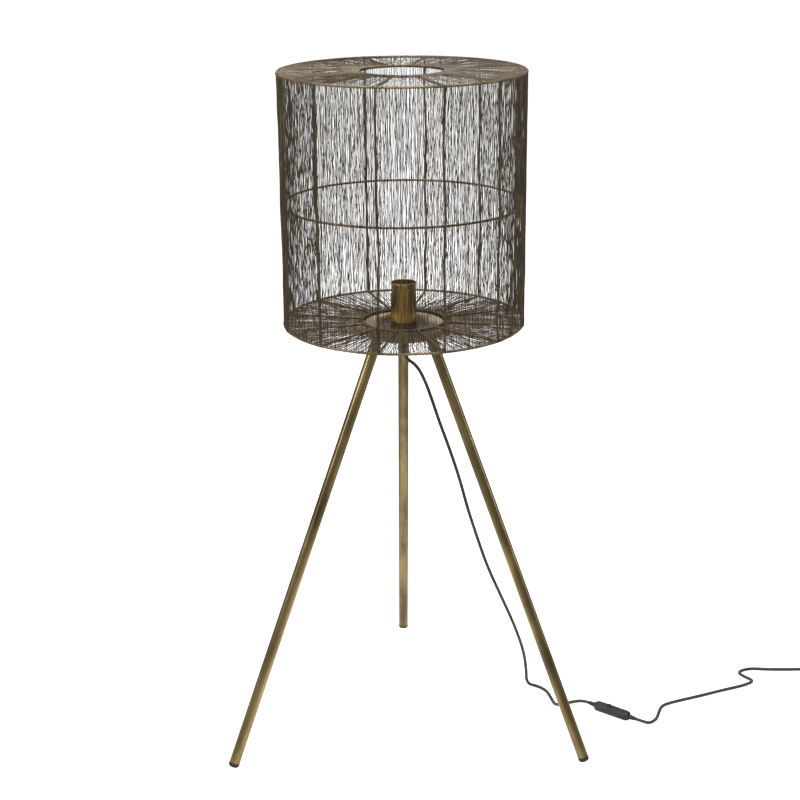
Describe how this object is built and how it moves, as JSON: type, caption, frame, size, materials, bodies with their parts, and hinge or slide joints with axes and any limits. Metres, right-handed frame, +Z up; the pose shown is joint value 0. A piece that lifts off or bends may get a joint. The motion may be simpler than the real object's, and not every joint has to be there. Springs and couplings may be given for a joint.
{
  "type": "wire cage floor lamp",
  "caption": "Floor lamp with a cylindrical wire cage shade on a brass dish, an open screw lampholder, splayed tube legs, and a mains cord with an inline rocker switch and a plug.",
  "frame": {"origin": "centre of the box round the standing lamp without its cord, on the floor", "axes": "+Z up, +Y from the lamp's axis towards the back leg, +X to the right as seen from the front, where the cord lies"},
  "size_m": [1.2496, 0.5792, 1.1982],
  "materials": {
    "frame_wire": "dark antique bronze lacquer on welded wire",
    "fine_wire": "antique bronze lacquer, satin",
    "antique_brass": "antique brass plating, brushed and lacquered",
    "steel": "zinc plated",
    "contact_brass": "bright pressed brass",
    "plug_nickel": "nickel plated",
    "ceramic": "dark brown glazed ceramic",
    "black_plastic": "moulded, fine grain",
    "switch_plastic": "moulded, semi-gloss",
    "plug_plastic": "moulded, satin",
    "foot_rubber": "matt moulded rubber",
    "cord_sheath": "soft charcoal sheath",
    "lead_insulation": "smooth",
    "tie_fabric": "woven hook and loop strap"
  },
  "bodies": {
    "lamp": {"shade_top_outer_ring": "frame_wire", "shade_top_inner_ring": "frame_wire", "shade_mid_ring": "frame_wire", "shade_bottom_outer_ring": "frame_wire", "shade_bottom_inner_ring": "frame_wire", "shade_stiles": "frame_wire", "shade_top_spokes": "frame_wire", "shade_bottom_spokes": "frame_wire", "shade_wall_wires": "fine_wire", "shade_top_wires": "fine_wire", "shade_bottom_wires": "fine_wire", "base_dish": "antique_brass", "stud_plate": "steel", "leg_back": "antique_brass", "leg_left": "antique_brass", "leg_right": "antique_brass", "leg_socket_back": "antique_brass", "leg_socket_left": "antique_brass", "leg_socket_right": "antique_brass", "foot_cap_back": "foot_rubber", "foot_cap_left": "foot_rubber", "foot_cap_right": "foot_rubber", "leg_studs": "steel", "leg_inserts": "steel", "lampholder_cup": "antique_brass", "lampholder_insulator": "ceramic", "lampholder_screw_shell": "contact_brass", "lampholder_terminals": "contact_brass", "lampholder_centre_contact": "contact_brass", "lampholder_terminal_screws": "steel", "lampholder_leads": "lead_insulation", "threaded_nipple": "steel", "washer": "steel", "lock_nut": "steel", "cord_grip": "black_plastic", "cord_grip_screw": "black_plastic", "strain_relief": "black_plastic", "power_cord_entry": "cord_sheath", "switch_base": "switch_plastic", "switch_cover": "switch_plastic", "switch_pivot_pin": "steel", "switch_cord_bushes": "switch_plastic", "switch_cord_ends": "cord_sheath", "switch_cord_clamps": "steel", "switch_clamp_screws": "steel", "switch_housing_screws": "steel", "switch_contacts": "contact_brass", "switch_leads": "lead_insulation", "power_cord_upper": "cord_sheath", "power_cord_lower": "cord_sheath", "power_cord_coil": "cord_sheath", "power_cord_tail": "cord_sheath", "cord_tie": "tie_fabric", "plug_body": "plug_plastic", "plug_pins": "plug_nickel", "plug_pin_sleeves": "plug_plastic"},
    "rocker": {"switch_rocker": "switch_plastic"}
  },
  "joints": [
    {"name": "rocker_tilt", "type": "hinge", "parent": "lamp", "child": "rocker", "pos_m": [0.3855, -0.09861, 0.0118], "axis": [-0.628, -0.7782, 0], "range_deg": [0, 20]}
  ]
}
